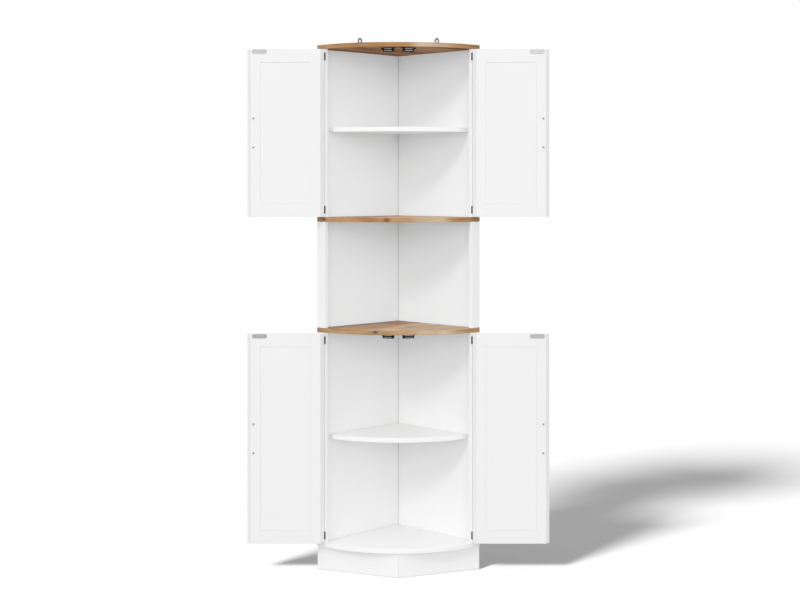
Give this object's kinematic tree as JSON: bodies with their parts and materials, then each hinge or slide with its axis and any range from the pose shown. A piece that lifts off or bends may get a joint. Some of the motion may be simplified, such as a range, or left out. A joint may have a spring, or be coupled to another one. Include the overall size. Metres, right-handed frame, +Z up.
{
  "type": "corner cupboard",
  "caption": "Tall corner cupboard with rounded boards, pairs of hinged framed doors above and below, an open middle tier, inner shelves and a plinth.",
  "frame": {"origin": "middle of the bounding box on the floor; the cupboard's back corner lies at x = 0, y = +0.1925 m and the front of its boards at y = -0.1925 m", "axes": "+X to the right for someone facing the cupboard, +Y to the room's corner behind it, +Z up"},
  "size_m": [1.0056, 0.385, 1.796],
  "materials": {
    "oak_board": "satin oak-look board with a long grain and a few knots",
    "white_board": "smooth white coated board with a soft sheen",
    "black_metal": "satin black paint on steel",
    "black_plastic": "matt black moulded housing",
    "steel": "bright zinc-plated steel"
  },
  "bodies": {
    "case": {"bottom_board": "white_board", "counter_board": "oak_board", "middle_board": "oak_board", "top_board": "oak_board", "plinth_front_left": "white_board", "plinth_back_left": "white_board", "left_wall_bracket": "steel", "plinth_front_right": "white_board", "plinth_back_right": "white_board", "right_wall_bracket": "steel", "lower_left_wall": "white_board", "lower_left_post": "white_board", "lower_left_low_hinge_post_leaf": "black_metal", "lower_left_high_hinge_post_leaf": "black_metal", "lower_left_catch": "black_plastic", "lower_right_wall": "white_board", "lower_right_post": "white_board", "lower_right_low_hinge_post_leaf": "black_metal", "lower_right_high_hinge_post_leaf": "black_metal", "lower_right_catch": "black_plastic", "lower_shelf": "white_board", "middle_left_wall": "white_board", "middle_left_post": "white_board", "middle_right_wall": "white_board", "middle_right_post": "white_board", "upper_left_wall": "white_board", "upper_left_post": "white_board", "upper_left_low_hinge_post_leaf": "black_metal", "upper_left_high_hinge_post_leaf": "black_metal", "upper_left_catch": "black_plastic", "upper_right_wall": "white_board", "upper_right_post": "white_board", "upper_right_low_hinge_post_leaf": "black_metal", "upper_right_high_hinge_post_leaf": "black_metal", "upper_right_catch": "black_plastic", "upper_shelf": "white_board"},
    "lower_left_door": {"lower_left_low_hinge_door_leaf": "black_metal", "lower_left_high_hinge_door_leaf": "black_metal", "lower_left_door_frame": "white_board", "lower_left_door_panel": "white_board", "lower_left_handle": "black_metal", "lower_left_strike_plate": "steel"},
    "lower_right_door": {"lower_right_low_hinge_door_leaf": "black_metal", "lower_right_high_hinge_door_leaf": "black_metal", "lower_right_door_frame": "white_board", "lower_right_door_panel": "white_board", "lower_right_handle": "black_metal", "lower_right_strike_plate": "steel"},
    "upper_left_door": {"upper_left_low_hinge_door_leaf": "black_metal", "upper_left_high_hinge_door_leaf": "black_metal", "upper_left_door_frame": "white_board", "upper_left_door_panel": "white_board", "upper_left_handle": "black_metal", "upper_left_strike_plate": "steel"},
    "upper_right_door": {"upper_right_low_hinge_door_leaf": "black_metal", "upper_right_high_hinge_door_leaf": "black_metal", "upper_right_door_frame": "white_board", "upper_right_door_panel": "white_board", "upper_right_handle": "black_metal", "upper_right_strike_plate": "steel"}
  },
  "joints": [
    {"name": "lower_left_door_hinge", "type": "hinge", "parent": "case", "child": "lower_left_door", "pos_m": [-0.24537, -0.10661, 0.4455], "axis": [0, 0, 1], "range_deg": [0, 161.5]},
    {"name": "lower_right_door_hinge", "type": "hinge", "parent": "case", "child": "lower_right_door", "pos_m": [0.24537, -0.10661, 0.4455], "axis": [0, 0, -1], "range_deg": [0, 161.5]},
    {"name": "upper_left_door_hinge", "type": "hinge", "parent": "case", "child": "upper_left_door", "pos_m": [-0.24537, -0.10661, 1.4615], "axis": [0, 0, 1], "range_deg": [0, 161.5]},
    {"name": "upper_right_door_hinge", "type": "hinge", "parent": "case", "child": "upper_right_door", "pos_m": [0.24537, -0.10661, 1.4615], "axis": [0, 0, -1], "range_deg": [0, 161.5]}
  ]
}
